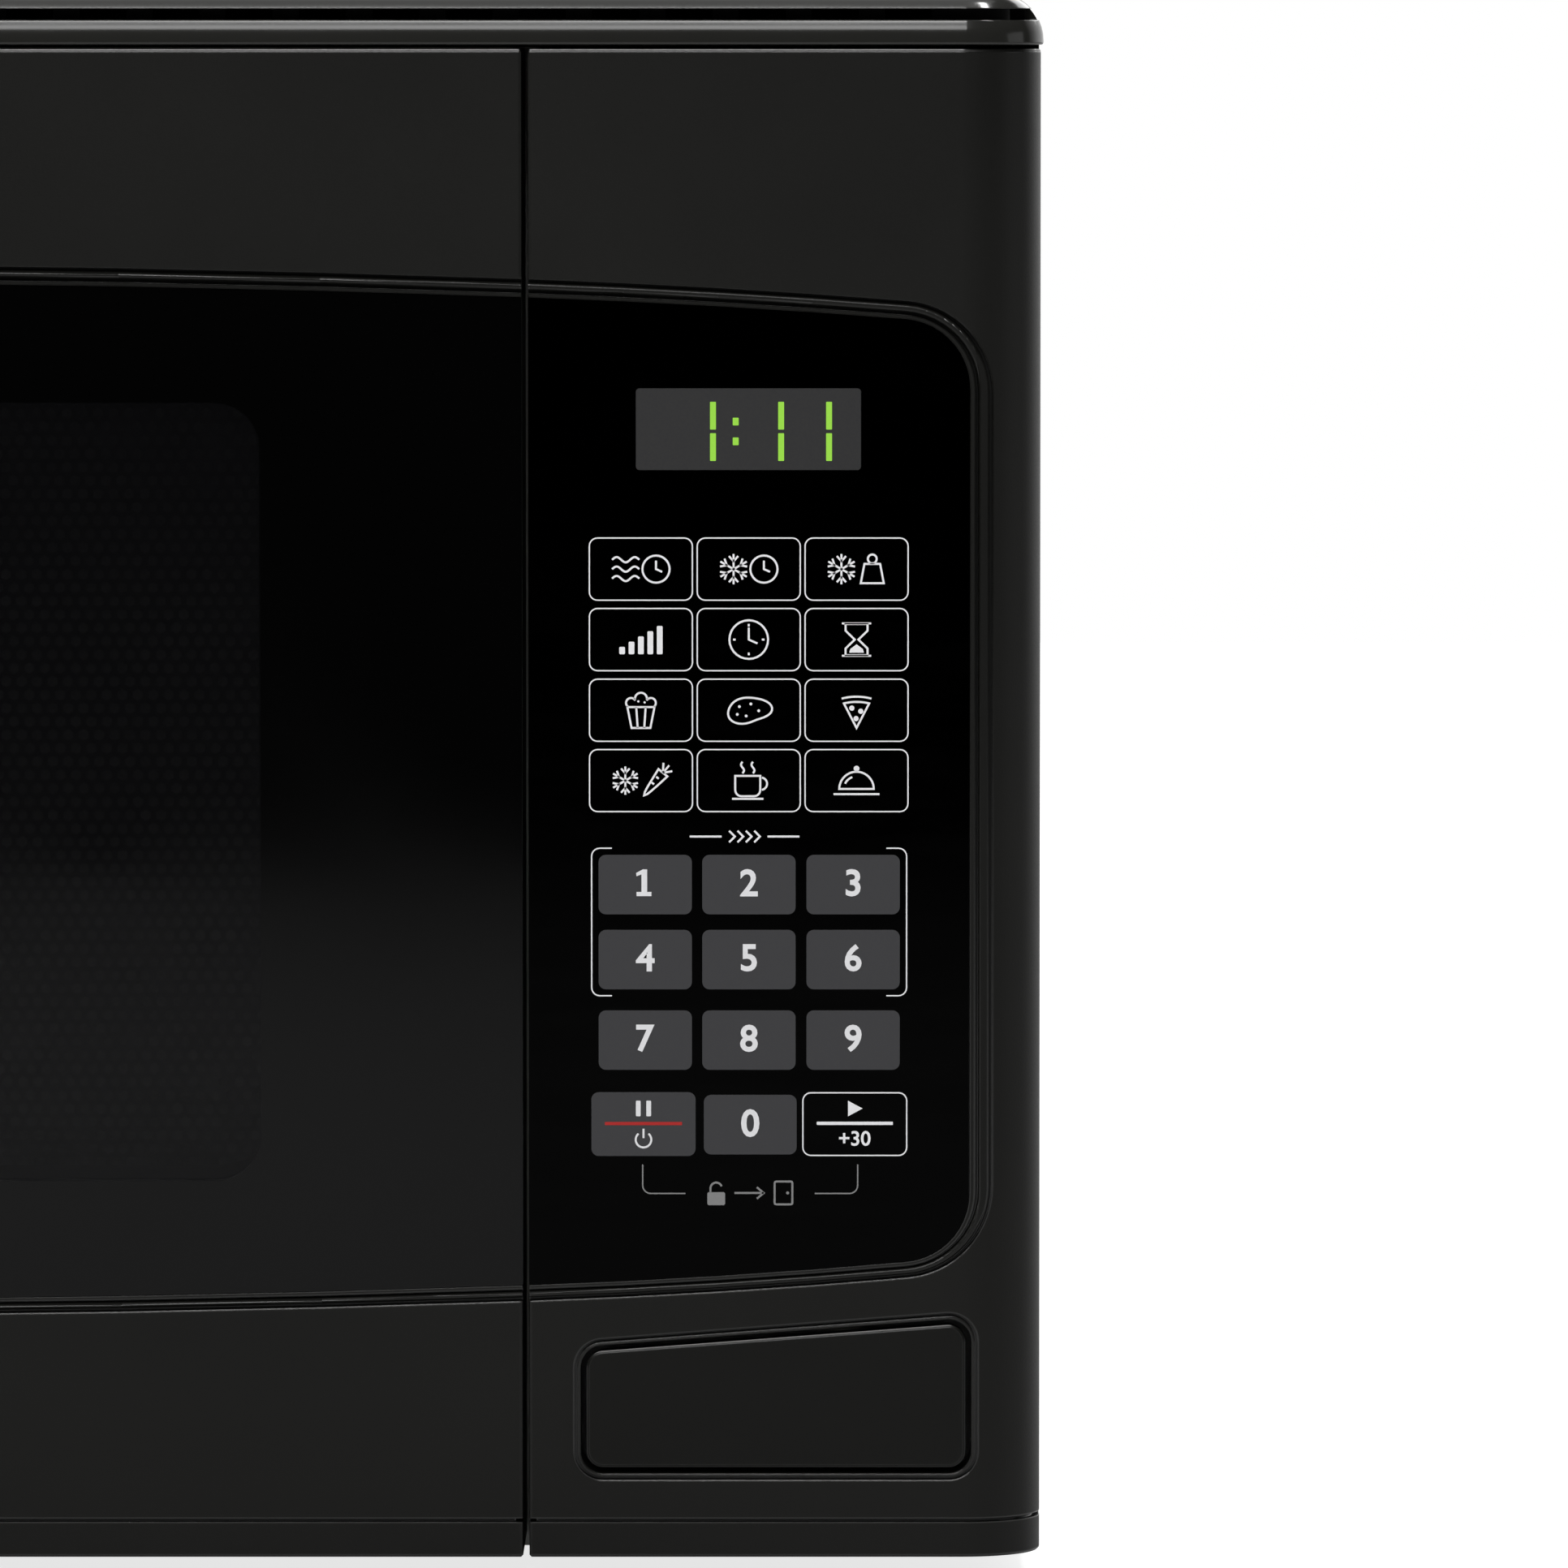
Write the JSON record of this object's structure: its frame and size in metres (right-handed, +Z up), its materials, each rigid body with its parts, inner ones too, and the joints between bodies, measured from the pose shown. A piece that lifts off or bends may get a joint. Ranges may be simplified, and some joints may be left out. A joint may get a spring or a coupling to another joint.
{
  "type": "microwave oven",
  "caption": "Countertop microwave oven with a side-hinged door, glossy control column, push-button door release, glass turntable and full working interior.",
  "frame": {"origin": "on the surface that the oven stands on, under the middle of its bounding box", "axes": "+X to the oven's right seen from the front, where the control column is; +Y to its back; +Z up"},
  "size_m": [0.514, 0.392, 0.307],
  "materials": {
    "grille_gloss": "glossy black",
    "front_plastic": "fine-textured charcoal",
    "overlay_gloss": "glossy black with printed keys",
    "key_matrix": "printed film",
    "lens_smoke": "smoked clear plastic",
    "inner_plastic": "moulded",
    "circuit_board": "circuit board with parts",
    "button_plastic": "satin charcoal",
    "spring_steel": "spring wire",
    "dark_glass": "smoked glossy glass",
    "screen_steel": "perforated sheet, black",
    "clear_film": "clear film",
    "cavity_enamel": "light grey enamel",
    "latch_plastic": "moulded",
    "plated_steel": "zinc plated",
    "cabinet_paint": "black powder coat",
    "foot_rubber": "moulded rubber",
    "mica": "mica sheet",
    "clear_glass": "clear pressed glass",
    "white_plastic": "moulded white",
    "core_steel": "laminated steel and windings",
    "can_aluminium": "drawn can",
    "lamp_glass": "bulb",
    "switch_plastic": "moulded"
  },
  "bodies": {
    "oven": {"vent_grille": "grille_gloss", "control_fascia": "front_plastic", "touch_overlay": "overlay_gloss", "keypad_membrane": "key_matrix", "display_lens": "lens_smoke", "display_module": "inner_plastic", "control_board": "circuit_board", "button_springs": "spring_steel", "lower_hinge": "plated_steel", "upper_hinge": "plated_steel", "front_plate": "cavity_enamel", "outer_cabinet": "cabinet_paint", "base_plate": "plated_steel", "feet": "foot_rubber", "rear_panel": "cabinet_paint", "cord_gland": "inner_plastic", "rear_spacers": "front_plastic", "rear_screws": "plated_steel", "column_screws": "plated_steel", "hinge_screws": "plated_steel", "cavity_floor": "cavity_enamel", "cavity_ceiling": "cavity_enamel", "cavity_left_wall": "cavity_enamel", "cavity_right_wall": "cavity_enamel", "cavity_rear_wall": "cavity_enamel", "mica_cover": "mica", "turntable_motor": "plated_steel", "waveguide": "plated_steel", "magnetron": "plated_steel", "transformer": "core_steel", "hv_capacitor": "can_aluminium", "capacitor_strap": "plated_steel", "hv_diode": "inner_plastic", "filter_board": "circuit_board", "fan_shroud": "inner_plastic", "fan_motor": "core_steel", "oven_lamp": "lamp_glass", "lamp_holder": "plated_steel", "thermal_cutouts": "inner_plastic", "interlock_bracket": "white_plastic", "interlock_switches": "switch_plastic"},
    "door": {"door_frame": "front_plastic", "door_glass": "dark_glass", "window_screen": "screen_steel", "window_film": "clear_film", "choke_panel": "cavity_enamel", "choke_cover": "front_plastic", "latch_spring": "spring_steel"},
    "latch": {"latch_hooks": "latch_plastic"},
    "button": {"door_button": "button_plastic"},
    "lever": {"release_lever": "inner_plastic"},
    "slide": {"lift_slide": "latch_plastic"},
    "turntable": {"turntable_tray": "clear_glass", "drive_hub": "white_plastic", "motor_shaft": "white_plastic"},
    "ring": {"roller_ring": "white_plastic"},
    "roller_a": {"roller_1": "white_plastic"},
    "roller_b": {"roller_2": "white_plastic"},
    "roller_c": {"roller_3": "white_plastic"},
    "fan": {"fan_blades": "white_plastic"}
  },
  "joints": [
    {"name": "door_hinge", "type": "hinge", "parent": "oven", "child": "door", "pos_m": [-0.2445, -0.171, 0.15], "axis": [0, 0, -1], "range_deg": [0, 100]},
    {"name": "latch_slide", "type": "slide", "parent": "door", "child": "latch", "axis": [0, 0, 1], "range_m": [0, 0.0046], "stiffness_N_per_m": 200, "springref_m": -0.002, "deforming": ["latch_spring"]},
    {"name": "button_press", "type": "slide", "parent": "oven", "child": "button", "axis": [0, 1, 0], "range_m": [0, 0.006], "stiffness_N_per_m": 400, "springref_m": -0.002, "deforming": ["button_springs"]},
    {"name": "lever_turn", "type": "hinge", "parent": "oven", "child": "lever", "pos_m": [0.20565, -0.168, 0.0744], "axis": [1, 0, 0], "range_deg": [0, 9]},
    {"name": "slide_lift", "type": "slide", "parent": "oven", "child": "slide", "axis": [0, 0, 1], "range_m": [0, 0.0046]},
    {"name": "turntable_spin", "type": "hinge", "parent": "oven", "child": "turntable", "pos_m": [-0.0497, 0.0135, 0.0483], "axis": [0, 0, 1], "continuous": true},
    {"name": "ring_spin", "type": "hinge", "parent": "oven", "child": "ring", "pos_m": [-0.0497, 0.0135, 0.0483], "axis": [0, 0, 1], "continuous": true},
    {"name": "fan_spin", "type": "hinge", "parent": "oven", "child": "fan", "pos_m": [0.1893, 0.148, 0.218], "axis": [0, 1, 0], "continuous": true},
    {"name": "roller_a_spin", "type": "hinge", "parent": "ring", "child": "roller_a", "pos_m": [-0.0497, 0.1188, 0.0483], "axis": [0, 1, 0], "continuous": true},
    {"name": "roller_b_spin", "type": "hinge", "parent": "ring", "child": "roller_b", "pos_m": [-0.14089, -0.03915, 0.0483], "axis": [-0.866, -0.5, 0], "continuous": true},
    {"name": "roller_c_spin", "type": "hinge", "parent": "ring", "child": "roller_c", "pos_m": [0.04149, -0.03915, 0.0483], "axis": [0.866, -0.5, 0], "continuous": true}
  ],
  "couplings": [
    {"joint": "latch_slide", "follows": "button_press", "ratio": 0.766},
    {"joint": "slide_lift", "follows": "button_press", "ratio": 0.766},
    {"joint": "lever_turn", "follows": "button_press", "rad_per_m": 25.641},
    {"joint": "ring_spin", "follows": "turntable_spin", "ratio": 0.5},
    {"joint": "roller_a_spin", "follows": "turntable_spin", "ratio": -6.5812},
    {"joint": "roller_b_spin", "follows": "turntable_spin", "ratio": -6.5812},
    {"joint": "roller_c_spin", "follows": "turntable_spin", "ratio": -6.5812}
  ]
}
